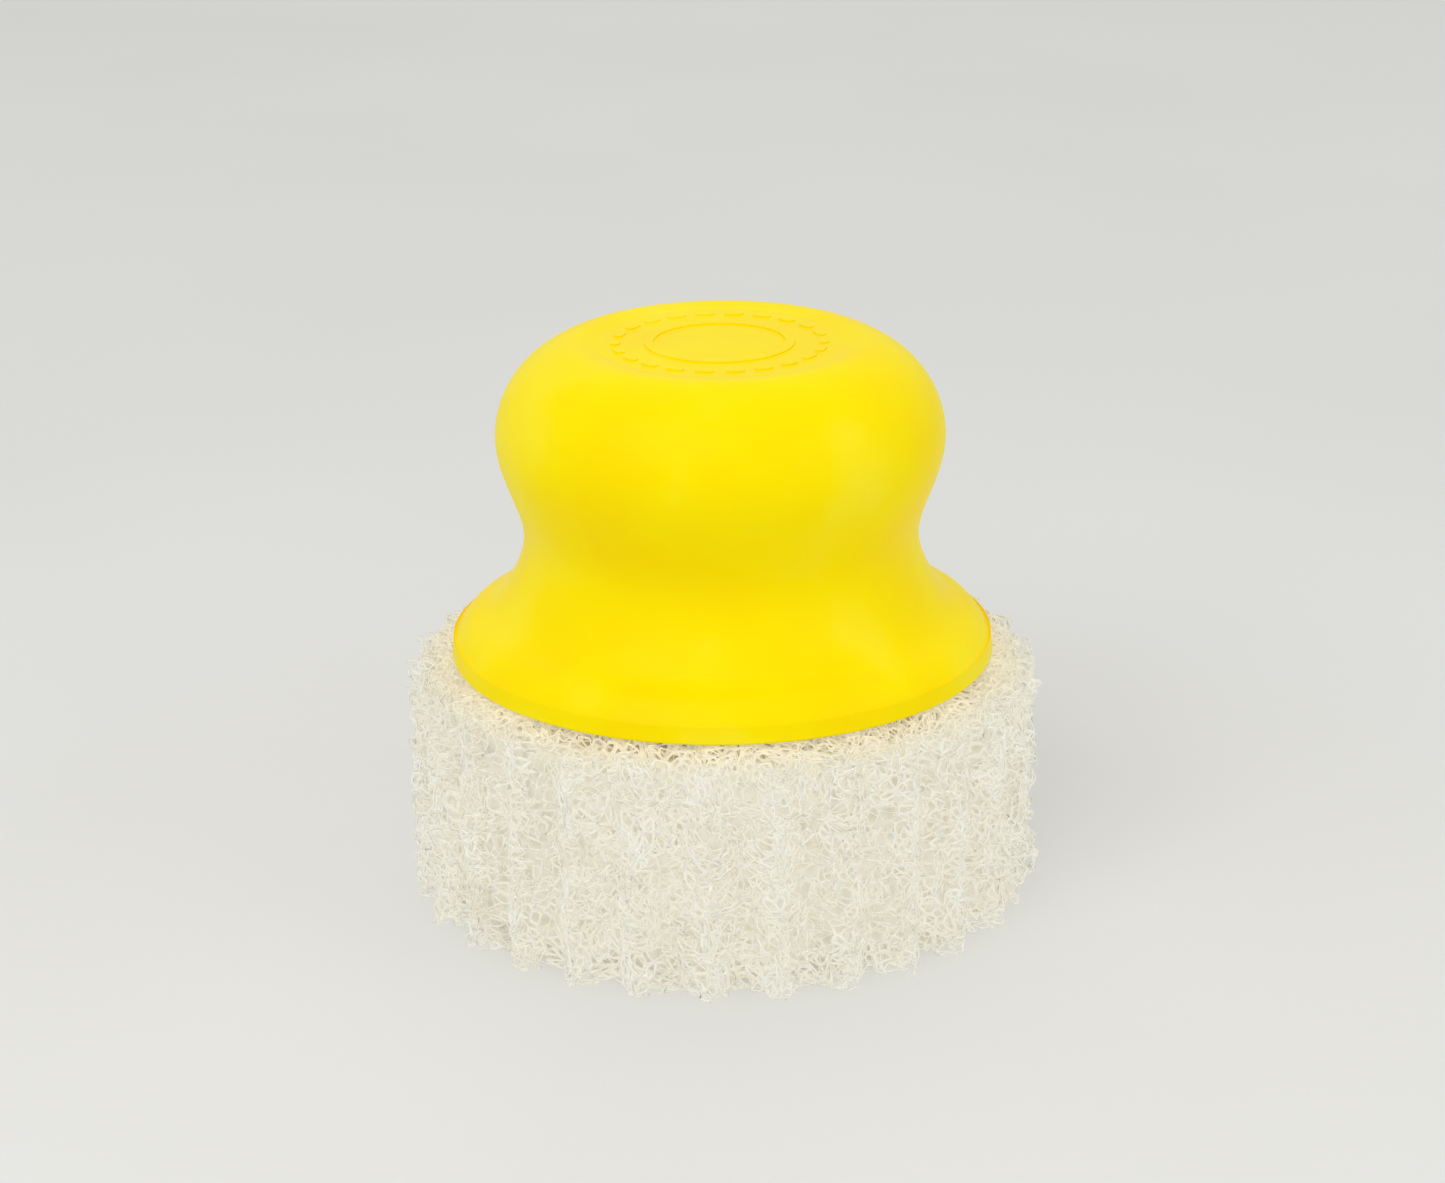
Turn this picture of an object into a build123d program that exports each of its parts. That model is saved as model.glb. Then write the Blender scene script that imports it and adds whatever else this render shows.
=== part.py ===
from build123d import *
from math import cos, radians, sin
import os

# A round palm scrubber: a hollow moulded knob on a thick open-cell foam pad.
# Millimetres, +Z up. The origin is on the knob's axis, at the pad's underside.

# scrubbing pad
pad_crown_height = 39.2
pad_crown_radius = 44.0
pad_edge_height = 37.0
pad_seat_height = 36.7
pad_seat_radius = 36.6
pad_tip_radius = 51.9
pad_tooth_depth = 5.4
pad_tooth_count = 29
first_tooth_angle = -80.3  # degrees from +X

# fastener stack between pad and knob, from the pad upwards
film_thickness = 0.2
loop_thickness = 1.1
hook_thickness = 1.2
loop_radius = 36.0
hook_radius = 35.0

# knob, outside
rim_height = 39.5
rim_radius = 43.5
waist_radius = 31.5
bulb_radius = 35.6
crest_radius = 22.4
crest_height = 90.3
dish_radius = 19.2
dish_height = 89.9
rim_edge_round = 0.3

# knob, inside
plate_thickness = 2.5
plate_radius = 40.3
plate_clearance = 0.3
seat_radius = 36.5
flare_height = 43.6
core_bottom_radius = 28.4
core_bottom_height = 57.0
core_top_radius = 27.2
core_top_height = 86.4
core_corner_radius = 3.0
rib_thickness = 2.0
rib_bottom_height = 66.0

# raised ring mark in the dish: a circle of round-ended dashes around a plain ring
mark_height = 0.22
mark_dash_count = 22
mark_dash_radius = 16.4
mark_dash_length = 3.0
mark_dash_width = 1.5
mark_ring_radius = 11.8
mark_ring_width = 1.4

# base plate features
locating_ring_height = 1.0
locating_ring_width = 1.8
locating_ring_clearance = 0.3
hub_radius = 6.0
hub_height = 3.5
plate_rib_count = 8
plate_rib_length = 17.0
plate_rib_thickness = 1.5

# screws and their bosses
screw_count = 4
screw_circle_radius = 27.0
screw_length = 12.0
screw_core_radius = 1.45
screw_head_radius = 3.5
screw_head_depth = 1.9
screw_tip_length = 1.6
recess_depth = 1.3
recess_length = 3.6
recess_width = 0.8
pilot_radius = 1.5
pilot_depth = 12.0
boss_radius = 4.0
boss_top_height = 60.0
plate_hole_radius = 1.8
countersink_radius = 3.7

loop_bottom = pad_seat_height + film_thickness
hook_bottom = loop_bottom + loop_thickness
film_bottom = hook_bottom + hook_thickness
hook_film_thickness = rim_height - film_bottom
plate_top = rim_height + plate_thickness
recess_radius = plate_radius + plate_clearance

os.makedirs("parts", exist_ok=True)


def save(part, name):
    part.label = name
    export_step(part, f"parts/{name}.step")


def polar(radius, angle):
    return (radius * cos(radians(angle)), radius * sin(radians(angle)))


# The pad: a foam block whose edge is cut in a zigzag, tip and valley by turns. Its top is
# pressed down where the fastener sits, stands proud round it and slopes down to the edge.
tooth_pitch = 360 / pad_tooth_count
zigzag = []
for tooth in range(pad_tooth_count):
    tip_angle = first_tooth_angle + tooth * tooth_pitch
    zigzag.append(polar(pad_tip_radius, tip_angle))
    zigzag.append(polar(pad_tip_radius - pad_tooth_depth, tip_angle + tooth_pitch / 2))

with BuildPart() as scrub_pad:
    with BuildSketch(Plane.XY):
        with BuildLine():
            Polyline(*zigzag, close=True)
        make_face()
    extrude(amount=pad_crown_height)
    with BuildSketch(Plane.XY.offset(pad_seat_height)):
        Circle(pad_seat_radius)
    extrude(amount=pad_crown_height - pad_seat_height, mode=Mode.SUBTRACT)
    with BuildSketch(Plane.XZ):
        with BuildLine():
            Polyline(
                (pad_crown_radius, pad_crown_height),
                (pad_tip_radius, pad_edge_height),
                (pad_tip_radius + 1, pad_edge_height),
                (pad_tip_radius + 1, pad_crown_height + 1),
                (pad_crown_radius, pad_crown_height + 1),
                close=True,
            )
        make_face()
    revolve(axis=Axis.Z, mode=Mode.SUBTRACT)
save(scrub_pad.part, "scrub_pad")

# The film that bonds the loop fabric to the foam.
with BuildPart() as pad_adhesive:
    with BuildSketch(Plane.XY.offset(pad_seat_height)):
        Circle(loop_radius)
    extrude(amount=film_thickness)
save(pad_adhesive.part, "pad_adhesive")

# Loop half and hook half of the fastener.
with BuildPart() as loop_disc:
    with BuildSketch(Plane.XY.offset(loop_bottom)):
        Circle(loop_radius)
    extrude(amount=loop_thickness)
save(loop_disc.part, "loop_disc")

with BuildPart() as hook_disc:
    with BuildSketch(Plane.XY.offset(hook_bottom)):
        Circle(hook_radius)
    extrude(amount=hook_thickness)
save(hook_disc.part, "hook_disc")

# The film that bonds the hook disc to the base plate.
with BuildPart() as hook_adhesive:
    with BuildSketch(Plane.XY.offset(film_bottom)):
        Circle(hook_radius)
    extrude(amount=hook_film_thickness)
save(hook_adhesive.part, "hook_adhesive")

# The knob: one revolved shell, open below, with a dished top, a bulb, a waist and a flared skirt.
with BuildPart() as handle_shell:
    with BuildSketch(Plane.XZ):
        with BuildLine():
            dish = Line((0, dish_height), (dish_radius, dish_height))
            lip = Spline(dish @ 1, (crest_radius, crest_height), tangents=((1, 0), (1, 0)))
            side = Spline(
                lip @ 1,
                (25.4, 89.65),
                (30.25, 86.7),
                (34.3, 81.2),
                (bulb_radius, 75.0),
                (33.6, 66.9),
                (waist_radius, 59.6),
                (33.4, 51.9),
                (37.7, 46.6),
                (41.4, 44.2),
                (43.1, 42.0),
                (rim_radius, rim_height),
                tangents=((1, 0), (0.1, -1)),
            )
            foot = Line(side @ 1, (recess_radius, rim_height))
            recess_wall = Line(foot @ 1, (recess_radius, plate_top))
            seat = Line(recess_wall @ 1, (seat_radius, plate_top))
            seat_wall = Line(seat @ 1, (seat_radius, flare_height))
            flare = Spline(
                seat_wall @ 1,
                (core_bottom_radius, core_bottom_height),
                tangents=((-0.85, 0.53), (-0.04, 1)),
            )
            core_side = Line(flare @ 1, (core_top_radius, core_top_height - core_corner_radius))
            core_corner = TangentArc(
                core_side @ 1,
                (core_top_radius - core_corner_radius, core_top_height),
                tangent=(0, 1),
            )
            core_roof = Line(core_corner @ 1, (0, core_top_height))
            Line(core_roof @ 1, dish @ 0)
        make_face()
    revolve(axis=Axis.Z)
    fillet(
        handle_shell.edges().filter_by(GeomType.CIRCLE).group_by(Axis.Z)[0].sort_by(SortBy.RADIUS)[-1],
        radius=rim_edge_round,
    )
    # two crossed ribs under the roof, between the bosses
    with BuildSketch(Plane.XY.offset(rib_bottom_height)):
        with Locations((0, 0)):
            for rib_angle in (0, 90):
                Rectangle(2 * core_bottom_radius, rib_thickness, rotation=rib_angle)
    extrude(amount=core_top_height + 1 - rib_bottom_height)
    # screw bosses grow out of the wall
    with BuildSketch(Plane.XY.offset(plate_top)):
        with PolarLocations(screw_circle_radius, screw_count, start_angle=45):
            Circle(boss_radius)
    extrude(amount=boss_top_height - plate_top)
    with BuildSketch(Plane.XY.offset(plate_top)):
        with PolarLocations(screw_circle_radius, screw_count, start_angle=45):
            Circle(pilot_radius)
    extrude(amount=pilot_depth, mode=Mode.SUBTRACT)
    # the raised mark
    with BuildSketch(Plane.XY.offset(dish_height)):
        with PolarLocations(mark_dash_radius, mark_dash_count):
            SlotOverall(mark_dash_length, mark_dash_width, rotation=90)
        Circle(mark_ring_radius)
        Circle(mark_ring_radius - mark_ring_width, mode=Mode.SUBTRACT)
    extrude(amount=mark_height)
save(handle_shell.part, "handle_shell")

# The plate that closes the knob.
with BuildPart() as base_plate:
    with BuildSketch(Plane.XY.offset(rim_height)):
        Circle(plate_radius)
    extrude(amount=plate_thickness)
    ring_radius = seat_radius - locating_ring_clearance
    with BuildSketch(Plane.XY.offset(plate_top)):
        Circle(ring_radius)
        Circle(ring_radius - locating_ring_width, mode=Mode.SUBTRACT)
    extrude(amount=locating_ring_height)
    with BuildSketch(Plane.XY.offset(plate_top)):
        Circle(hub_radius)
        with PolarLocations(hub_radius + plate_rib_length / 2 - 1, plate_rib_count):
            Rectangle(plate_rib_length, plate_rib_thickness)
    extrude(amount=hub_height)
    with Locations(Plane.XY.offset(rim_height)):
        with PolarLocations(screw_circle_radius, screw_count, start_angle=45):
            with Locations(Rotation(180, 0, 0)):
                CounterSinkHole(plate_hole_radius, countersink_radius)
save(base_plate.part, "base_plate")

# Self-tapping screws, heads down in the plate's countersinks.
for screw in range(screw_count):
    screw_x, screw_y = polar(screw_circle_radius, 45 + screw * 360 / screw_count)
    screw_plane = Plane((screw_x, screw_y, rim_height), x_dir=(1, 0, 0), z_dir=(0, -1, 0))
    with BuildPart() as base_screw:
        with BuildSketch(screw_plane):
            with BuildLine():
                Polyline(
                    (0, 0),
                    (screw_head_radius, 0),
                    (screw_core_radius, screw_head_depth),
                    (screw_core_radius, screw_length - screw_tip_length),
                    (0, screw_length),
                    close=True,
                )
            make_face()
        revolve(axis=Axis((screw_x, screw_y, 0), (0, 0, 1)))
        with BuildSketch(Plane((screw_x, screw_y, rim_height))):
            Rectangle(recess_length, recess_width)
            Rectangle(recess_width, recess_length)
        extrude(amount=recess_depth, mode=Mode.SUBTRACT)
    save(base_screw.part, f"base_screw_{screw + 1}")
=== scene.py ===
import math

import bpy
import numpy as np
from mathutils import Matrix, Vector


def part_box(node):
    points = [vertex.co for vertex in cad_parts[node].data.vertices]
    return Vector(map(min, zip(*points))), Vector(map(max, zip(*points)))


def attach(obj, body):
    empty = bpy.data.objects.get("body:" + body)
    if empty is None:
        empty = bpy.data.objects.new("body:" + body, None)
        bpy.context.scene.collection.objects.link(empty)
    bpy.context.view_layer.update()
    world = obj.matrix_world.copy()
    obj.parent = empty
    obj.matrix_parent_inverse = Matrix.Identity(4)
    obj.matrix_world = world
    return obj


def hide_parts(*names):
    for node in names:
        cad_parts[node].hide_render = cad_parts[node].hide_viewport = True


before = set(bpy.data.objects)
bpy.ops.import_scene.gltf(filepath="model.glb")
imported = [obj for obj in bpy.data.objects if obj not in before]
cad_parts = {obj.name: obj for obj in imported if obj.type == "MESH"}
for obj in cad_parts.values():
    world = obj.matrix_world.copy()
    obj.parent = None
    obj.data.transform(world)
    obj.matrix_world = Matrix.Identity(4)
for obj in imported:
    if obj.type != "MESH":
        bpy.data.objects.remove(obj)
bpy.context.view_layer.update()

mm = 0.001
scene = bpy.context.scene
scene.view_settings.view_transform = "Standard"
scene.view_settings.look = "None"


def toLinear(hexColour):
    parts = [int(hexColour[i:i + 2], 16) / 255 for i in (1, 3, 5)]
    return tuple(c / 12.92 if c <= 0.04045 else ((c + 0.055) / 1.055) ** 2.4 for c in parts) + (1.0,)


def addNode(tree, kind, values=None, links=None, **settings):
    node = tree.nodes.new("ShaderNode" + kind)
    for name, value in settings.items():
        setattr(node, name, value)
    for name, value in (values or {}).items():
        node.inputs[name].default_value = value
    for name, (source, socket) in (links or {}).items():
        tree.links.new(source.outputs[socket], node.inputs[name])
    return node


def newMaterial(name):
    material = bpy.data.materials.new(name)
    material.use_nodes = True
    material.node_tree.nodes.clear()
    return material, material.node_tree


def setRamp(node, stops):
    ramp = node.color_ramp
    while len(ramp.elements) < len(stops):
        ramp.elements.new(0.5)
    for element, (place, colour) in zip(ramp.elements, stops):
        element.position = place
        element.color = toLinear(colour)


def perMetre(sizeMm):
    return 1000.0 / sizeMm  # texture scale for a pattern that repeats about every sizeMm


def addPiece(name, mesh, material, body, replaced):
    piece = bpy.data.objects.new(name, mesh)
    scene.collection.objects.link(piece)
    piece.data.materials.append(material)
    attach(piece, body)
    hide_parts(replaced)
    print(name, len(mesh.polygons), "faces")
    return piece


def fastMesh(name, points, quads, triangles):
    mesh = bpy.data.meshes.new(name)
    mesh.vertices.add(len(points))
    mesh.vertices.foreach_set("co", points.astype(np.float32).ravel())
    corners = np.concatenate([quads.ravel(), triangles.ravel()]).astype(np.int32)
    mesh.loops.add(len(corners))
    mesh.loops.foreach_set("vertex_index", corners)
    starts = np.concatenate([np.arange(len(quads)) * 4, quads.size + np.arange(len(triangles)) * 3])
    mesh.polygons.add(len(starts))
    mesh.polygons.foreach_set("loop_start", starts.astype(np.int32))
    mesh.update(calc_edges=True)
    mesh.polygons.foreach_set("use_smooth", np.ones(len(starts), bool))
    return mesh


def wireMesh(name, lines, radii, across, turn):
    # one closed three-sided wire per line: lines (wire, point, xyz), radii (wire, point);
    # across (wire, xyz) is square to the plane that the wire bends in
    wires, points = lines.shape[:2]
    along = np.gradient(lines, axis=1)
    along /= np.linalg.norm(along, axis=2, keepdims=True)
    across = np.repeat(across[:, None, :], points, axis=1)
    up = np.cross(along, across)
    corners = []
    for k in range(3):
        angle = (turn + k * 2 * math.pi / 3)[:, None, None]
        corners.append(lines + radii[..., None] * (np.cos(angle) * across + np.sin(angle) * up))
    corners = np.stack(corners, axis=2).reshape(-1, 3)
    walls = [[s * 3 + k, s * 3 + 3 + k, s * 3 + 3 + (k + 1) % 3, s * 3 + (k + 1) % 3]
             for s in range(points - 1) for k in range(3)]
    ends = [[0, 1, 2], [points * 3 - 1, points * 3 - 2, points * 3 - 3]]
    base = (np.arange(wires) * points * 3)[:, None, None]
    return fastMesh(name, corners, (np.array(walls)[None] + base).reshape(-1, 4),
                    (np.array(ends)[None] + base).reshape(-1, 3))


def turnedMesh(name, profile, around, shape=None):
    # a closed profile of (radius, height) from axis to axis, turned; shape moves the points afterwards
    points, quads, triangles, starts = [], [], [], []
    for radius, height in profile:
        starts.append(len(points))
        for i in range(1 if radius == 0 else around):
            angle = 2 * math.pi * i / around
            points.append((radius * math.cos(angle), radius * math.sin(angle), height))
    for row in range(len(profile) - 1):
        a, b = starts[row], starts[row + 1]
        for i in range(around):
            j = (i + 1) % around
            if profile[row][0] == 0:
                triangles.append((a, b + j, b + i))
            elif profile[row + 1][0] == 0:
                triangles.append((a + i, a + j, b))
            else:
                quads.append((a + i, a + j, b + j, b + i))
    points = np.array(points)
    if shape:
        points = shape(points)
    return fastMesh(name, points, np.array(quads), np.array(triangles))


def roundedDisc(name, radius, low, high, edge):
    # a thin disc with a soft edge
    bend = [math.radians(15 * i) for i in range(7)]
    profile = [(0.0, low)] + [(radius * t, low) for t in (0.3, 0.6, 0.85)]
    profile += [(radius - edge + edge * math.sin(a), low + edge - edge * math.cos(a)) for a in bend]
    profile += [(radius - edge + edge * math.cos(a), high - edge + edge * math.sin(a)) for a in bend]
    profile += [(radius * t, high) for t in (0.85, 0.6, 0.3)] + [(0.0, high)]
    return turnedMesh(name, profile, 96)


knobLook = {
    "yellow": "#ffe700",
    "deepYellow": "#ffe200",
    "reflectionPaleYellow": "#ffeb2c",
    "roughness": 0.34,
    "specular": 0.04,
    "orangePeelMm": 1.6,
    "sinkAndSheenMm": 22.0,
    "speckMm": 0.5,
}


def mouldedPolypropylene():
    # satin injection-moulded polypropylene: solid saturated yellow, paler where it is seen edge-on, with
    # broad pale patches painted in as painted reflections of the lamps
    material, tree = newMaterial("moulded polypropylene yellow")
    place = addNode(tree, "TexCoord")
    sinkAndSheen = addNode(tree, "TexNoise", {"Scale": perMetre(knobLook["sinkAndSheenMm"]), "Detail": 2.0},
                   {"Vector": (place, "Object")})
    peel = addNode(tree, "TexNoise", {"Scale": perMetre(knobLook["orangePeelMm"]), "Detail": 2.0},
                   {"Vector": (place, "Object")})
    speck = addNode(tree, "TexNoise", {"Scale": perMetre(knobLook["speckMm"]), "Detail": 3.0},
                    {"Vector": (place, "Object")})
    # painted reflection: the ramp's palest yellow, laid by the slow noise, stands for soft reflections of
    # the lamps
    tone = addNode(tree, "ValToRGB", links={"Fac": (sinkAndSheen, "Fac")})
    setRamp(tone, [(0.35, knobLook["deepYellow"]), (0.52, knobLook["yellow"]),
                   (0.72, knobLook["reflectionPaleYellow"])])
    gloss = addNode(tree, "MapRange", {"From Min": 0.3, "From Max": 0.7,
                                       "To Min": knobLook["roughness"] - 0.05,
                                       "To Max": knobLook["roughness"] + 0.06},
                    {"Value": (sinkAndSheen, "Fac")})
    swell = addNode(tree, "Bump", {"Strength": 0.12, "Distance": 0.4 * mm}, {"Height": (sinkAndSheen, "Fac")})
    skin = addNode(tree, "Bump", {"Strength": 0.06, "Distance": 0.05 * mm},
                   {"Height": (peel, "Fac"), "Normal": (swell, "Normal")})
    grain = addNode(tree, "Bump", {"Strength": 0.05, "Distance": 0.02 * mm},
                    {"Height": (speck, "Fac"), "Normal": (skin, "Normal")})
    shader = addNode(tree, "BsdfPrincipled",
                     {"IOR": 1.49, "Specular IOR Level": knobLook["specular"]},
                     {"Base Color": (tone, "Color"), "Roughness": (gloss, "Result"),
                      "Normal": (grain, "Normal")})
    addNode(tree, "OutputMaterial", links={"Surface": (shader, "BSDF")})
    return material


plateLook = {"dark": "#efcf00", "light": "#f8dc08", "grainMm": 0.6, "roughness": 0.55, "specular": 0.3}


def texturedPolypropylene():
    # spark-eroded mould texture: the same yellow, duller and finely grained
    material, tree = newMaterial("textured polypropylene yellow")
    place = addNode(tree, "TexCoord")
    grain = addNode(tree, "TexNoise", {"Scale": perMetre(plateLook["grainMm"]), "Detail": 4.0},
                    {"Vector": (place, "Object")})
    tone = addNode(tree, "ValToRGB", links={"Fac": (grain, "Fac")})
    setRamp(tone, [(0.3, plateLook["dark"]), (0.7, plateLook["light"])])
    bump = addNode(tree, "Bump", {"Strength": 0.35, "Distance": 0.06 * mm}, {"Height": (grain, "Fac")})
    shader = addNode(tree, "BsdfPrincipled",
                     {"Roughness": plateLook["roughness"], "IOR": 1.49,
                      "Specular IOR Level": plateLook["specular"]},
                     {"Base Color": (tone, "Color"), "Normal": (bump, "Normal")})
    addNode(tree, "OutputMaterial", links={"Surface": (shader, "BSDF")})
    return material


screwLook = {"dark": "#b9bcc0", "light": "#d6d8da", "stainMm": 2.5, "turningMm": 0.9}


def zincPlatedSteel():
    # bright zinc plate on drawn wire: cool grey metal with turning marks, drawn coarser than real
    material, tree = newMaterial("zinc plated steel")
    place = addNode(tree, "TexCoord")
    stain = addNode(tree, "TexNoise", {"Scale": perMetre(screwLook["stainMm"]), "Detail": 3.0},
                    {"Vector": (place, "Object")})
    tone = addNode(tree, "ValToRGB", links={"Fac": (stain, "Fac")})
    setRamp(tone, [(0.3, screwLook["dark"]), (0.7, screwLook["light"])])
    gloss = addNode(tree, "MapRange", {"To Min": 0.22, "To Max": 0.42}, {"Value": (stain, "Fac")})
    turning = addNode(tree, "TexWave", {"Scale": perMetre(screwLook["turningMm"]) / 6.0, "Distortion": 0.4},
                      {"Vector": (place, "Object")}, bands_direction="Z")
    bump = addNode(tree, "Bump", {"Strength": 0.2, "Distance": 0.03 * mm}, {"Height": (turning, "Fac")})
    shader = addNode(tree, "BsdfPrincipled", {"Metallic": 1.0},
                     {"Base Color": (tone, "Color"), "Roughness": (gloss, "Result"),
                      "Normal": (bump, "Normal")})
    addNode(tree, "OutputMaterial", links={"Surface": (shader, "BSDF")})
    return material


glueLook = {"dark": "#d9cda4", "light": "#e9e0c2", "lumpMm": 1.8}


def acrylicAdhesive():
    # pressure-sensitive acrylic film: straw-coloured, glossy and slightly lumpy
    material, tree = newMaterial("acrylic adhesive film")
    place = addNode(tree, "TexCoord")
    lumps = addNode(tree, "TexNoise", {"Scale": perMetre(glueLook["lumpMm"]), "Detail": 3.0},
                    {"Vector": (place, "Object")})
    tone = addNode(tree, "ValToRGB", links={"Fac": (lumps, "Fac")})
    setRamp(tone, [(0.3, glueLook["dark"]), (0.7, glueLook["light"])])
    bump = addNode(tree, "Bump", {"Strength": 0.4, "Distance": 0.08 * mm}, {"Height": (lumps, "Fac")})
    shader = addNode(tree, "BsdfPrincipled", {"Roughness": 0.25, "IOR": 1.47},
                     {"Base Color": (tone, "Color"), "Normal": (bump, "Normal")})
    addNode(tree, "OutputMaterial", links={"Surface": (shader, "BSDF")})
    return material


def dressNodes():
    knob = mouldedPolypropylene()
    plate = texturedPolypropylene()
    steel = zincPlatedSteel()
    glue = acrylicAdhesive()
    finishes = {"handle_shell": knob, "base_plate": plate, "hook_adhesive": glue, "pad_adhesive": glue}
    for number in range(1, 5):
        finishes[f"base_screw_{number}"] = steel
    for name, material in finishes.items():
        node = bpy.data.objects[name]
        for slot in node.material_slots:
            slot.material = material


foamLook = {
    "clean": "#f0f1ec",
    "warm": "#edebe0",
    # painted shade: the darker, warmer colour of struts deep in the foam
    "deep": "#e5e0ce",
    # painted bounce light: the gold of yellow light thrown from the knob onto the foam
    "bounceGold": "#f3ead0",
    "middlePale": "#e0dbc8",
    "middlePoreShade": "#cec7af",
    "roughness": 0.26,
    "specular": 0.45,
    "translucency": 0.5,
    "glow": "#fdfaf0",
    "rimGlow": "#faebc0",
    "glowStrength": 0.38,
    "rimGlowStrength": 0.54,
    "middleGlow": 0.09,
    "patchMm": 7.0,
    "skinMm": 0.35,
    "middleCellMm": 2.4,
}


def reticulatedFoam():
    # open-cell polyester foam after reticulation: off-white, translucent, glossy struts that glint
    material, tree = newMaterial("reticulated polyester foam")
    place = addNode(tree, "TexCoord")
    patch = addNode(tree, "TexNoise", {"Scale": perMetre(foamLook["patchMm"]), "Detail": 3.0},
                    {"Vector": (place, "Object")})
    skin = addNode(tree, "TexNoise", {"Scale": perMetre(foamLook["skinMm"]), "Detail": 2.0},
                   {"Vector": (place, "Object")})
    outer = addNode(tree, "ValToRGB", links={"Fac": (patch, "Fac")})
    setRamp(outer, [(0.35, foamLook["warm"]), (0.6, foamLook["clean"])])
    # painted shade: struts deeper in the foam and in the zigzag's valleys are mixed towards a darker,
    # warmer colour
    depth = addNode(tree, "Attribute", attribute_name="depth")
    depthShaded = addNode(tree, "MixRGB", {"Color2": toLinear(foamLook["deep"])},
                    {"Fac": (depth, "Fac"), "Color1": (outer, "Color")})
    # painted bounce light: struts beside the knob's rim are tinted gold
    rim = addNode(tree, "Attribute", attribute_name="rim")
    tone = addNode(tree, "MixRGB", {"Color2": toLinear(foamLook["bounceGold"])},
                   {"Fac": (rim, "Fac"), "Color1": (depthShaded, "Color")})
    glow = addNode(tree, "MapRange", {"To Min": foamLook["glowStrength"],
                                      "To Max": foamLook["rimGlowStrength"]}, {"Value": (rim, "Fac")})
    gloss = addNode(tree, "MapRange", {"To Min": foamLook["roughness"] - 0.15,
                                       "To Max": foamLook["roughness"] + 0.15},
                    {"Value": (skin, "Fac")})
    bump = addNode(tree, "Bump", {"Strength": 0.3, "Distance": 0.03 * mm}, {"Height": (skin, "Fac")})
    # the faint glow stands for light that the real foam passes on inside from strut to strut, and
    # from the yellow rim
    glowTone = addNode(tree, "MixRGB", {"Color1": toLinear(foamLook["glow"]),
                                        "Color2": toLinear(foamLook["rimGlow"])}, {"Fac": (rim, "Fac")})
    shader = addNode(tree, "BsdfPrincipled", {"IOR": 1.52, "Specular IOR Level": foamLook["specular"]},
                     {"Base Color": (tone, "Color"), "Roughness": (gloss, "Result"),
                      "Normal": (bump, "Normal"), "Emission Color": (glowTone, "Color"),
                      "Emission Strength": (glow, "Result")})
    through = addNode(tree, "BsdfTranslucent", links={"Color": (tone, "Color")})
    both = addNode(tree, "MixShader", {0: foamLook["translucency"]},
                   {1: (shader, "BSDF"), 2: (through, "BSDF")})
    addNode(tree, "OutputMaterial", links={"Surface": (both, "Shader")})
    material.cycles.emission_sampling = "NONE"
    return material


def foamDepths():
    # the foam's middle, seen only through its outer cells: a porous mass painted darker and warmer than the
    # struts as painted shade of the depth, with a faint glow
    material, tree = newMaterial("reticulated polyester foam depths")
    place = addNode(tree, "TexCoord")
    cells = addNode(tree, "TexVoronoi", {"Scale": perMetre(foamLook["middleCellMm"])},
                    {"Vector": (place, "Object")})
    # painted shade: the cells' centres are darkest, like shade inside pores
    tone = addNode(tree, "ValToRGB", links={"Fac": (cells, "Distance")})
    setRamp(tone, [(0.15, foamLook["middlePoreShade"]), (0.6, foamLook["middlePale"])])
    bump = addNode(tree, "Bump", {"Strength": 0.5, "Distance": 0.6 * mm}, {"Height": (cells, "Distance")})
    shader = addNode(tree, "BsdfPrincipled", {"Roughness": 0.6, "IOR": 1.5,
                                              "Emission Color": toLinear(foamLook["glow"]),
                                              "Emission Strength": foamLook["middleGlow"]},
                     {"Base Color": (tone, "Color"), "Normal": (bump, "Normal")})
    addNode(tree, "OutputMaterial", links={"Surface": (shader, "BSDF")})
    material.cycles.emission_sampling = "NONE"
    return material


foam = {
    "teeth": 29,
    "firstTip": -80.3,      # degrees from +X
    "toothDepth": 5.4 * mm,
    "crownRadius": 44.0 * mm,
    "edgeDrop": 2.2 * mm,   # the top slopes down from the crown to the tips
    "seatDepth": 2.5 * mm,  # pressed down under the fastener
    "cell": 2.75 * mm,      # across one cell, 10 to 13 pores per inch
    "rise": 1.25,           # cells are taller than wide
    "jitter": 0.13,         # of a cell
    "wander": 0.65 * mm,     # slow drift that hides the lattice
    "strut": 0.26 * mm,
    "opening": (0.5, 0.84),  # of a window
    "shutShare": 0.05,      # windows whose film was left nearly closed
    "shutOpening": 0.28,
    "fray": 1.1 * mm,       # how uneven the cut is
    "overcut": 0.38,        # of a cell: a node this far outside is pulled back to the cut
    "driftSize": 11 * mm,   # length of the slow drift's waves
    "soleDepth": 2.8 * mm,
    "soleGap": 0.25 * mm,   # nodes stay this far above the floor
    "crownGap": 0.15 * mm,  # and this far below the top
    "crownInset": 2.0 * mm,  # how far the net's crown reaches under the fastener
    "strutSpread": (0.75, 1.3),
    "evenness": 0.3,        # how far the inner scatter evens out the shading
    "filmEvenness": 0.6,    # and that of the film's thin inner edge
    "fluteTurn": 0.3,       # and the flutes
    "valleyShade": 0.25,     # painted shade: how much deeper, and so darker, the zigzag's valleys are painted
    "rimBounceTint": 0.7,         # painted bounce light: how strongly the knob's yellow is painted onto the foam beside its rim
    "rimReach": 6.0 * mm,
    "netDepth": 4.4 * mm,   # how deep the net goes before the middle starts
    "middleInset": 0.65,    # of the net's depth: where the middle starts
    "middleTop": 3.2 * mm,  # below the crown
    "middleSunk": 0.9 * mm,  # below the seat
    "lumpSize": 5.0 * mm,
    "lumpHeight": 0.35 * mm,
    "sectors": 12,
    "seed": 7,
}
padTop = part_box("scrub_pad")[1][2]
seatGap = 0.6 * mm  # between the fastener and the foam's crown
wallSlant = 0.72   # a step square to the zigzag's wall, of a step along the radius
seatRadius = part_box("loop_disc")[1][0] + seatGap
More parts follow.
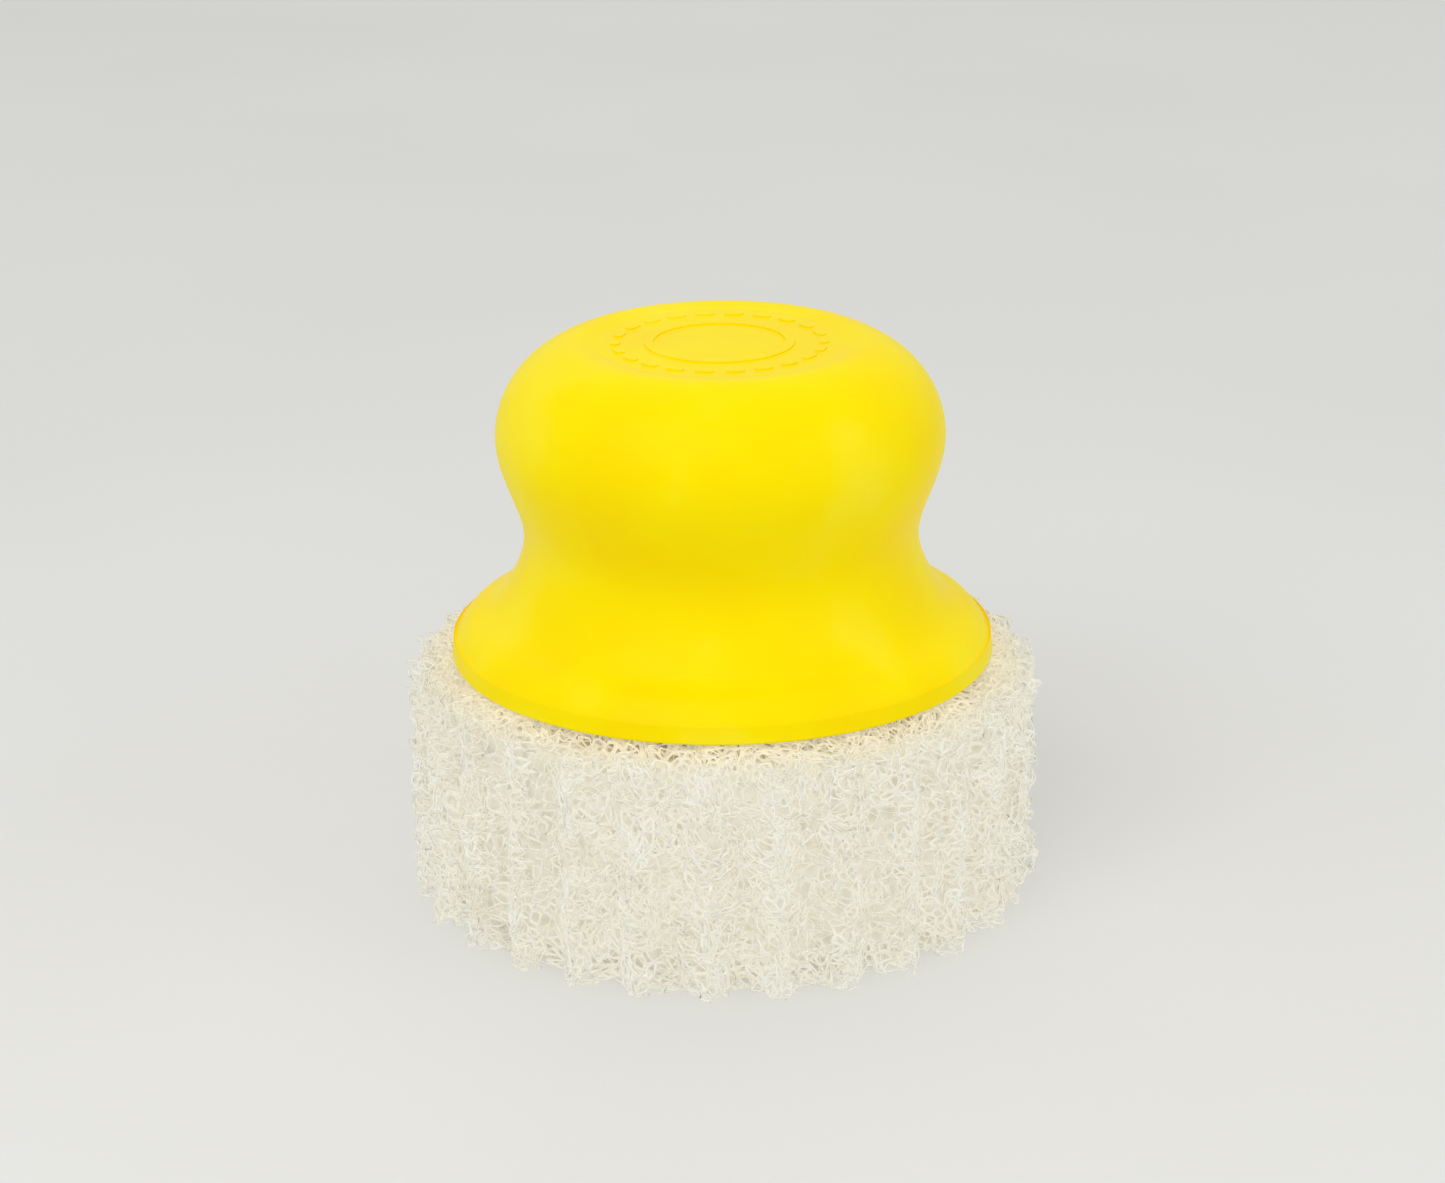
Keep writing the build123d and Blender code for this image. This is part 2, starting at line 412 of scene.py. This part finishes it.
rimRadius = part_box("handle_shell")[1][0]
seatHeight = padTop - foam["seatDepth"]
tipRadius = max(math.hypot(v.co.x, v.co.y) for v in bpy.data.objects["scrub_pad"].data.vertices)
valleyRadius = tipRadius - foam["toothDepth"]


def outlineRadius(angle):
    # radius of the zigzag outline: straight lines from tip to valley
    half = math.pi / foam["teeth"]
    turn = np.mod(angle - math.radians(foam["firstTip"]), 2 * half)
    turn = np.minimum(turn, 2 * half - turn)
    return (tipRadius * valleyRadius * math.sin(half)
            / (tipRadius * np.sin(turn) + valleyRadius * np.sin(half - turn)))


def topHeight(radius):
    slope = foam["edgeDrop"] / (tipRadius - foam["crownRadius"])
    height = padTop - slope * np.maximum(radius - foam["crownRadius"], 0)
    return np.where(radius < seatRadius, seatHeight, height)


def insideBy(points):
    # how far each point is inside the cut block, negative outside
    radius = np.hypot(points[:, 0], points[:, 1])
    side = (outlineRadius(np.arctan2(points[:, 1], points[:, 0])) - radius) * wallSlant
    return np.minimum(side, np.minimum(points[:, 2], topHeight(radius) - points[:, 2]))


def outwardFrom(points):
    # the direction that the nearest face of the block looks, turned smoothly at its edges
    edgeBand, soleInset, crownLean = 2 * mm, 4 * mm, 0.6
    radius = np.hypot(points[:, 0], points[:, 1])
    angle = np.arctan2(points[:, 1], points[:, 0])
    reach, step = outlineRadius(angle), 0.001
    slope = (outlineRadius(angle + step) - outlineRadius(angle - step)) / (2 * step) * foam["fluteTurn"]
    side = np.stack([reach * np.cos(angle) + slope * np.sin(angle),
                     reach * np.sin(angle) - slope * np.cos(angle), np.zeros(len(points))], axis=1)
    side /= np.linalg.norm(side, axis=1, keepdims=True)
    toTop = np.clip(1 - (topHeight(radius) - points[:, 2]) / edgeBand, 0, 1)
    toSole = np.clip(1 - points[:, 2] / edgeBand, 0, 1) * (reach - radius > soleInset)
    side *= (1 - toSole)[:, None]
    side[:, 2] += crownLean * toTop - toSole
    return side


def kelvinWindows(cell, rise, reach, top):
    # the windows of truncated-octahedron cells on a body-centred lattice: (nodes, squares, hexagons).
    # A cell is four steps wide, and its corners are the whole-number points that shell lists. A
    # corner's three coordinates make one key, so corners that cells share are found as equal keys.
    steps, keyBase = 4, 4096
    shell = np.array([p for p in np.ndindex(5, 5, 5) if sorted(abs(c - 2) for c in p) == [0, 1, 2]]) - 2
    facing = [(a, 2) for a in np.concatenate([np.eye(3), -np.eye(3)])]
    facing += [(np.array(p) * 2 - 1, 3) for p in np.ndindex(2, 2, 2)]
    outlines = {4: [], 6: []}
    for normal, distance in facing:
        ring = np.where(shell @ normal == distance)[0]
        sideways = shell[ring[0]] - normal * distance / (normal @ normal)
        forward = np.cross(normal, sideways)
        turn = np.arctan2(shell[ring] @ forward / np.linalg.norm(forward),
                          shell[ring] @ sideways / np.linalg.norm(sideways))
        outlines[len(ring)].append(ring[np.argsort(turn)])
    count = int(math.ceil(reach / cell)) + 1
    levels = int(math.ceil(top / (cell * rise))) + 1
    grid = np.stack(np.meshgrid(np.arange(-count, count + 1), np.arange(-count, count + 1),
                                np.arange(-1, levels + 1), indexing="ij"), axis=-1).reshape(-1, 3) * steps
    centres = np.concatenate([grid, grid + steps // 2])
    centres = centres[np.hypot(centres[:, 0], centres[:, 1]) * cell / steps < reach + cell]
    shift = steps * (count + 3)
    places = centres[:, None, :] + shell[None] + shift
    keys = (places[..., 0] * keyBase + places[..., 1]) * keyBase + places[..., 2]
    nodeKeys, index = np.unique(keys, return_inverse=True)
    index = index.reshape(keys.shape)
    windows = []
    for corners in (4, 6):
        rings = index[:, np.array(outlines[corners])].reshape(-1, corners)
        _, once = np.unique(np.sort(rings, axis=1), axis=0, return_index=True)
        windows.append(rings[np.sort(once)])
    nodes = np.stack([nodeKeys // keyBase // keyBase, nodeKeys // keyBase % keyBase,
                      nodeKeys % keyBase], axis=1) - shift
    return nodes * (cell / steps) * np.array([1, 1, rise]), windows


def slowDrift(points, size, rng):
    # a sum of a few long waves in random directions, each a little shorter than the last
    waves, longest, shorten = 9, 0.7, 0.12
    drift = np.zeros_like(points)
    for wave in range(waves):
        direction = rng.normal(size=3)
        direction *= (longest + shorten * wave) * 2 * math.pi / (size * np.linalg.norm(direction))
        push = rng.normal(size=3) / math.sqrt(waves)
        drift += np.sin(points @ direction + rng.uniform(0, 2 * math.pi))[:, None] * push
    return drift


def cutNet(rng):
    # the net's windows; a node just outside the block is pulled back to the cut face
    nodes, windows = kelvinWindows(foam["cell"], foam["rise"], tipRadius, padTop)
    nodes = nodes + rng.normal(size=nodes.shape) * foam["jitter"] * foam["cell"]
    nodes = nodes + slowDrift(nodes, foam["driftSize"], rng) * foam["wander"]
    depth = insideBy(nodes)
    radius = np.hypot(nodes[:, 0], nodes[:, 1])
    outline = outlineRadius(np.arctan2(nodes[:, 1], nodes[:, 0]))
    wall = outline - radius < foam["netDepth"]
    crown = (nodes[:, 2] > padTop - foam["netDepth"]) & (radius > seatRadius - foam["crownInset"])
    sole = nodes[:, 2] < foam["soleDepth"]
    kept = (depth > -foam["overcut"] * foam["cell"]) & (wall | crown | sole)
    windows = [rings[kept[rings].all(axis=1) & (depth[rings] > 0).any(axis=1)] for rings in windows]
    inward = np.minimum(radius, outline - rng.uniform(0, foam["fray"], len(nodes))) / radius
    nodes[:, :2] *= inward[:, None]
    nodes[:, 2] = np.clip(nodes[:, 2], foam["soleGap"], topHeight(radius * inward) - foam["crownGap"])
    return nodes, windows


def webMesh(name, nodes, windows, rng):
    # round each open window the film is drawn back into a rim, thin inside and thick at the struts.
    # roundOff pushes out the point between two corners, so that the opening is nearly a circle.
    roundOffs, tiny = {4: 1.3, 6: 1.13}, 1e-12
    floorGap, topAllowance = 0.02 * mm, 0.1 * mm
    points, quads, triangles, lean = [], [], [], []
    start = 0
    for rings in windows:
        count, corners = rings.shape
        outer = nodes[rings]
        middle = outer.mean(axis=1, keepdims=True)
        normal = np.cross(outer - middle, np.roll(outer, -1, axis=1) - middle).sum(axis=1, keepdims=True)
        normal /= np.linalg.norm(normal, axis=2, keepdims=True) + tiny
        opening = rng.uniform(*foam["opening"], (count, 1, 1))
        shut = rng.uniform(size=(count, 1, 1)) < foam["shutShare"]
        opening = np.where(shut, foam["shutOpening"], opening)
        thick = normal * foam["strut"] / 2 * rng.uniform(*foam["strutSpread"], (count, 1, 1))
        side = (outer + np.roll(outer, -1, axis=1)) / 2
        inner = middle + (outer - middle) * opening
        between = middle + (side - middle) * opening * roundOffs[corners]
        points.append(np.concatenate([outer + thick, outer - thick, inner, between], axis=1).reshape(-1, 3))
        lean.append(np.tile(np.repeat([foam["evenness"], foam["filmEvenness"]], 2 * corners), count))
        base = start + np.arange(count)[:, None] * 4 * corners
        for i in range(corners):
            j = (i + 1) % corners
            top, bottom, near, mid = i, corners + i, 2 * corners + i, 3 * corners + i
            topNext, bottomNext, nearNext = j, corners + j, 2 * corners + j
            triangles += [base + [[top, mid, near]], base + [[top, topNext, mid]],
                          base + [[topNext, nearNext, mid]], base + [[bottom, near, mid]],
                          base + [[bottom, mid, bottomNext]], base + [[bottomNext, mid, nearNext]]]
            quads.append(base + [[top, bottom, bottomNext, topNext]])
        start += count * 4 * corners
    points = np.concatenate(points)
    # nothing sticks out past the faces that touch the knob, the fastener and the floor
    radius = np.hypot(points[:, 0], points[:, 1])
    points[:, 2] = np.clip(points[:, 2], floorGap, topHeight(radius) + topAllowance)
    mesh = fastMesh(name, points, np.concatenate(quads), np.concatenate(triangles))
    # masks for painted shade on deep struts and the zigzag's valleys, and for painted bounce light beside
    # the knob's rim
    inward = insideBy(points) + foam["valleyShade"] * (tipRadius - radius)
    rimDistance = np.hypot(radius - rimRadius, points[:, 2] - padTop)
    paintedLightMasks = {"depth": inward / foam["netDepth"],
             "rim": foam["rimBounceTint"] * (1 - rimDistance / foam["rimReach"])}
    for paintedMask, values in paintedLightMasks.items():
        layer = mesh.attributes.new(paintedMask, "FLOAT", "POINT")
        layer.data.foreach_set("value", np.clip(values, 0, 1).astype(np.float32))
    # light scattered inside the foam evens out its shading, so the normals lean towards the outside
    normals = np.empty(len(points) * 3, np.float32)
    mesh.vertex_normals.foreach_get("vector", normals)
    normals = normals.reshape(-1, 3) + np.concatenate(lean)[:, None] * outwardFrom(points)
    normals /= np.linalg.norm(normals, axis=1, keepdims=True) + tiny
    mesh.normals_split_custom_set_from_vertices(normals.tolist())
    return mesh


def coreMesh():
    # the middle: a lumpy closed block with half the zigzag, a few cells in from every face
    inset = foam["netDepth"] * foam["middleInset"]
    low, high = foam["soleDepth"], padTop - foam["middleTop"]
    levels, aroundTooth, seatEdge = 24, 8, 1 * mm
    fractions = (0.25, 0.5, 0.75, 0.9)
    profile = [(0.0, low)] + [(valleyRadius * t, low) for t in fractions]
    profile += [(valleyRadius, low + (high - low) * i / levels) for i in range(levels + 1)]
    profile += [(valleyRadius * t, high) for t in fractions[::-1]] + [(0.0, high)]
    rng = np.random.default_rng(foam["seed"] + 1)

    def zigzagAndLumps(points):
        outline = outlineRadius(np.arctan2(points[:, 1], points[:, 0]))
        outline = (outline + valleyRadius) / 2 - inset
        points[:, :2] *= (outline / valleyRadius)[:, None]
        sunk = np.hypot(points[:, 0], points[:, 1]) < seatRadius + seatEdge
        lowered = np.minimum(points[:, 2], seatHeight - foam["middleSunk"])
        points[:, 2] = np.where(sunk, lowered, points[:, 2])
        return points + slowDrift(points, foam["lumpSize"], rng) * foam["lumpHeight"]

    return turnedMesh("foam_core", profile, foam["teeth"] * aroundTooth, zigzagAndLumps)


def makePad():
    material = reticulatedFoam()
    rng = np.random.default_rng(foam["seed"])
    nodes, windows = cutNet(rng)
    width = 2 * math.pi / foam["sectors"]
    sectors = []
    for rings in windows:
        middle = nodes[rings].mean(axis=1)
        sectors.append(np.floor(np.mod(np.arctan2(middle[:, 1], middle[:, 0]), 2 * math.pi) / width))
    for number in range(foam["sectors"]):
        name = f"foam_net_{number + 1}"
        chosen = [rings[sector == number] for rings, sector in zip(windows, sectors)]
        mesh = webMesh(name, nodes, chosen, rng)
        piece = addPiece(name, mesh, material, "pad", "scrub_pad")
        piece.visible_shadow = False  # light soaks through the net, as it does through the real one
        piece.visible_diffuse = False
    core = addPiece("foam_core", coreMesh(), foamDepths(), "pad", "scrub_pad")
    core.visible_shadow = False


fastener = {
    "backing": 0.4 * mm,
    "backingEdge": 0.4,      # of the backing's thickness: how round its edge is
    "rootDepth": 0.6,        # of the backing's thickness: where loops and hooks grow from
    "loopPitch": 1.05 * mm,
    "loopWidth": 1.0 * mm,
    "loopThread": 0.09 * mm,
    "loopMargin": 0.8 * mm,  # bare edge of the disc
    "loopScatter": 0.2 * mm,
    "loopLean": 0.25 * mm,
    "loopTall": (0.6, 0.95),
    "hookPitch": 1.35 * mm,
    "hookReach": 0.55 * mm,
    "hookThread": 0.13 * mm,
    "hookMargin": 0.9 * mm,
    "hookTaper": (1.25, 1.0, 0.95, 0.9, 0.8, 0.5),
    "pile": "#fafaf6",
    "pileShade": "#edece4",
    "nylon": "#f4f4ef",
    "nylonShade": "#dededa",
    "threadMm": 0.5,
    "flowMm": 3.0,
    "seed": 11,
}


def knittedPolyester():
    # brushed loop pile knitted from polyester yarn: soft, matt, with a faint sheen at its edges
    material, tree = newMaterial("knitted polyester loop pile")
    place = addNode(tree, "TexCoord")
    yarn = addNode(tree, "TexNoise", {"Scale": perMetre(fastener["threadMm"]), "Detail": 4.0},
                   {"Vector": (place, "Object")})
    tone = addNode(tree, "ValToRGB", links={"Fac": (yarn, "Fac")})
    setRamp(tone, [(0.35, fastener["pileShade"]), (0.65, fastener["pile"])])
    bump = addNode(tree, "Bump", {"Strength": 0.5, "Distance": 0.05 * mm}, {"Height": (yarn, "Fac")})
    shader = addNode(tree, "BsdfPrincipled", {"Roughness": 0.8, "IOR": 1.53, "Sheen Weight": 0.3,
                                              "Sheen Roughness": 0.4},
                     {"Base Color": (tone, "Color"), "Normal": (bump, "Normal")})
    addNode(tree, "OutputMaterial", links={"Surface": (shader, "BSDF")})
    return material


def mouldedNylon():
    # hooks moulded in one piece with their backing: milky nylon, faintly translucent and satin
    material, tree = newMaterial("moulded nylon hooks")
    place = addNode(tree, "TexCoord")
    flow = addNode(tree, "TexNoise", {"Scale": perMetre(fastener["flowMm"]), "Detail": 3.0},
                   {"Vector": (place, "Object")})
    tone = addNode(tree, "ValToRGB", links={"Fac": (flow, "Fac")})
    setRamp(tone, [(0.3, fastener["nylonShade"]), (0.7, fastener["nylon"])])
    bump = addNode(tree, "Bump", {"Strength": 0.2, "Distance": 0.04 * mm}, {"Height": (flow, "Fac")})
    shader = addNode(tree, "BsdfPrincipled", {"Roughness": 0.42, "IOR": 1.53, "Subsurface Weight": 0.15,
                                              "Subsurface Scale": 0.5 * mm},
                     {"Base Color": (tone, "Color"), "Normal": (bump, "Normal")})
    addNode(tree, "OutputMaterial", links={"Surface": (shader, "BSDF")})
    return material


def spotsOnDisc(radius, pitch):
    # staggered rows of points inside a circle
    steps = int(radius / pitch) + 1
    spots = []
    for row in range(-steps, steps + 1):
        for column in range(-steps, steps + 1):
            x, y = (column + 0.5 * (row % 2)) * pitch, row * pitch
            if math.hypot(x, y) < radius:
                spots.append((x, y))
    return np.array(spots)


def makeLoops():
    low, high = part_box("loop_disc")[0][2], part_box("loop_disc")[1][2]
    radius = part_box("loop_disc")[1][0]
    material = knittedPolyester()
    rng = np.random.default_rng(fastener["seed"])
    spots = spotsOnDisc(radius - fastener["loopMargin"], fastener["loopPitch"])
    spots = spots + rng.normal(size=spots.shape) * fastener["loopScatter"]
    heading = rng.uniform(0, 2 * math.pi, len(spots))
    lean = rng.uniform(-1, 1, len(spots)) * fastener["loopLean"]
    root = low + fastener["backing"] * fastener["rootDepth"]
    tall = (high - root - fastener["loopThread"]) * rng.uniform(*fastener["loopTall"], len(spots))
    forward = np.stack([np.cos(heading), np.sin(heading), np.zeros(len(spots))], axis=1)
    across = np.stack([-np.sin(heading), np.cos(heading), np.zeros(len(spots))], axis=1)
    bow = np.linspace(0, math.pi, 6)
    foot = np.concatenate([spots, np.full((len(spots), 1), root)], axis=1)
    lines = (foot[:, None] - forward[:, None] * np.cos(bow)[None, :, None] * fastener["loopWidth"] / 2
             + np.array([0, 0, 1.0])[None, None] * np.sin(bow)[None, :, None] * tall[:, None, None]
             + across[:, None] * np.sin(bow)[None, :, None] * lean[:, None, None])
    radii = np.full(lines.shape[:2], fastener["loopThread"])
    pile = wireMesh("loop_pile", lines, radii, across, np.zeros(len(spots)))
    field = addPiece("loop_pile", pile, material, "pad", "loop_disc")
    field.visible_shadow = False  # thin pale yarn that light passes
    backing = roundedDisc("loop_backing", radius, low, low + fastener["backing"],
                          fastener["backing"] * fastener["backingEdge"])
    addPiece("loop_backing", backing, material, "pad", "loop_disc")


def makeHooks():
    low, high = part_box("hook_disc")[0][2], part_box("hook_disc")[1][2]
    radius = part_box("hook_disc")[1][0]
    material = mouldedNylon()
    spots = spotsOnDisc(radius - fastener["hookMargin"], fastener["hookPitch"])
    side = np.where(np.round(spots[:, 1] / fastener["hookPitch"]) % 2 == 0, 1.0, -1.0)
    root = high - fastener["backing"] * fastener["rootDepth"]
    tipGap, tipRise = 0.9, 0.7  # of the thread's radius, and of the bend
    reach = fastener["hookReach"]
    bend = reach / 2
    drop = root - (low + fastener["hookThread"] * tipGap) - bend
    turn = np.radians([0, 60, 120, 180])
    out = np.concatenate([[0.0, 0.0], bend - bend * np.cos(turn)[1:], [reach]])
    down = np.concatenate([[0.0, drop], drop + bend * np.sin(turn)[1:], [drop - bend * tipRise]])
    lines = np.zeros((len(spots), len(out), 3))
    lines[..., 0] = spots[:, :1] + side[:, None] * (out - bend)[None]
    lines[..., 1] = spots[:, 1:]
    lines[..., 2] = root - down[None]
    radii = np.repeat([fastener["hookTaper"]], len(spots), axis=0) * fastener["hookThread"]
    across = np.repeat([[0.0, 1.0, 0.0]], len(spots), axis=0)
    field = wireMesh("hook_field", lines, radii, across, np.zeros(len(spots)))
    addPiece("hook_field", field, material, "knob", "hook_disc")
    backing = roundedDisc("hook_backing", radius, high - fastener["backing"], high,
                          fastener["backing"] * fastener["backingEdge"])
    addPiece("hook_backing", backing, material, "knob", "hook_disc")


studio = {
    "paper": "#e5e5e3",
    "paperShade": "#e2e2e0",
    "fibreMm": 3.0,
    "cloudMm": 160.0,
    "floorHalf": 4.0,
    "aimHeight": 50 * mm,
    "world": "#f4f4f3",
    "worldStrength": 0.76,
    "keyWatts": 1.75,
    "keySize": 0.55,
    "keyPlace": (-0.26, -0.42, 0.60),
    "topWatts": 2.1,
    "topSize": 1.2,
    "topPlace": (0.0, 0.90, 1.15),
    "fillWatts": 1.2,
    "fillSize": 0.7,
    "fillPlace": (0.75, -0.35, 0.35),
}


def mattPaper():
    # uncoated background paper: matt, faintly fibrous
    material, tree = newMaterial("matt background paper")
    place = addNode(tree, "TexCoord")
    fibre = addNode(tree, "TexNoise", {"Scale": perMetre(studio["fibreMm"]), "Detail": 4.0},
                    {"Vector": (place, "Object")})
    cloud = addNode(tree, "TexNoise", {"Scale": perMetre(studio["cloudMm"]), "Detail": 2.0},
                    {"Vector": (place, "Object")})
    tone = addNode(tree, "ValToRGB", links={"Fac": (cloud, "Fac")})
    setRamp(tone, [(0.3, studio["paperShade"]), (0.7, studio["paper"])])
    bump = addNode(tree, "Bump", {"Strength": 0.1, "Distance": 0.1 * mm}, {"Height": (fibre, "Fac")})
    shader = addNode(tree, "BsdfPrincipled", {"Roughness": 0.9, "Specular IOR Level": 0.2},
                     {"Base Color": (tone, "Color"), "Normal": (bump, "Normal")})
    addNode(tree, "OutputMaterial", links={"Surface": (shader, "BSDF")})
    return material


def addSoftbox(name):
    lamp = bpy.data.lights.new(name + "_softbox", "AREA")
    lamp.shape = "SQUARE"
    lamp.size = studio[name + "Size"]
    lamp.energy = studio[name + "Watts"]
    holder = bpy.data.objects.new(name + "_softbox", lamp)
    place = Vector(studio[name + "Place"])
    holder.location = place
    holder.rotation_mode = "QUATERNION"
    holder.rotation_quaternion = (Vector((0, 0, studio["aimHeight"])) - place).to_track_quat("-Z", "Y")
    scene.collection.objects.link(holder)


def makeStage():
    half = studio["floorHalf"]
    mesh = bpy.data.meshes.new("paper_floor")
    mesh.from_pydata([(-half, -half, 0), (half, -half, 0), (half, half, 0), (-half, half, 0)],
                     [], [(0, 1, 2, 3)])
    floor = bpy.data.objects.new("paper_floor", mesh)
    scene.collection.objects.link(floor)
    mesh.materials.append(mattPaper())
    world = bpy.data.worlds.new("studio")
    scene.world = world
    world.use_nodes = True
    sky = world.node_tree.nodes["Background"]
    sky.inputs["Color"].default_value = toLinear(studio["world"])
    sky.inputs["Strength"].default_value = studio["worldStrength"]
    for name in ("key", "top", "fill"):
        addSoftbox(name)


view = {
    "target": (0.0001, 0.0, 0.0483),
    "distance": 0.5625,
    "elevation": 20.0,
    "roll": 0.55,
    "lens": 87.2,
    "sensor": 36.0,
    "nearest": 0.02,
    "farthest": 20.0,
}


def makeCamera():
    lens = bpy.data.cameras.new("camera")
    lens.lens = view["lens"]
    lens.sensor_width = view["sensor"]
    lens.clip_start, lens.clip_end = view["nearest"], view["farthest"]
    camera = bpy.data.objects.new("camera", lens)
    rise = math.radians(view["elevation"])
    back = Vector((0, -math.cos(rise), math.sin(rise)))
    camera.location = Vector(view["target"]) + back * view["distance"]
    camera.rotation_mode = "QUATERNION"
    turn = Matrix.Rotation(math.radians(-view["roll"]), 3, "Z").to_quaternion()
    camera.rotation_quaternion = (-back).to_track_quat("-Z", "Y") @ turn
    scene.collection.objects.link(camera)
    scene.camera = camera


makeCamera()
makeStage()
print("camera, lights and floor made")
dressNodes()
print("CAD nodes dressed")
makePad()
print("pad made")
makeLoops()
makeHooks()
print("hook and loop fastener made")
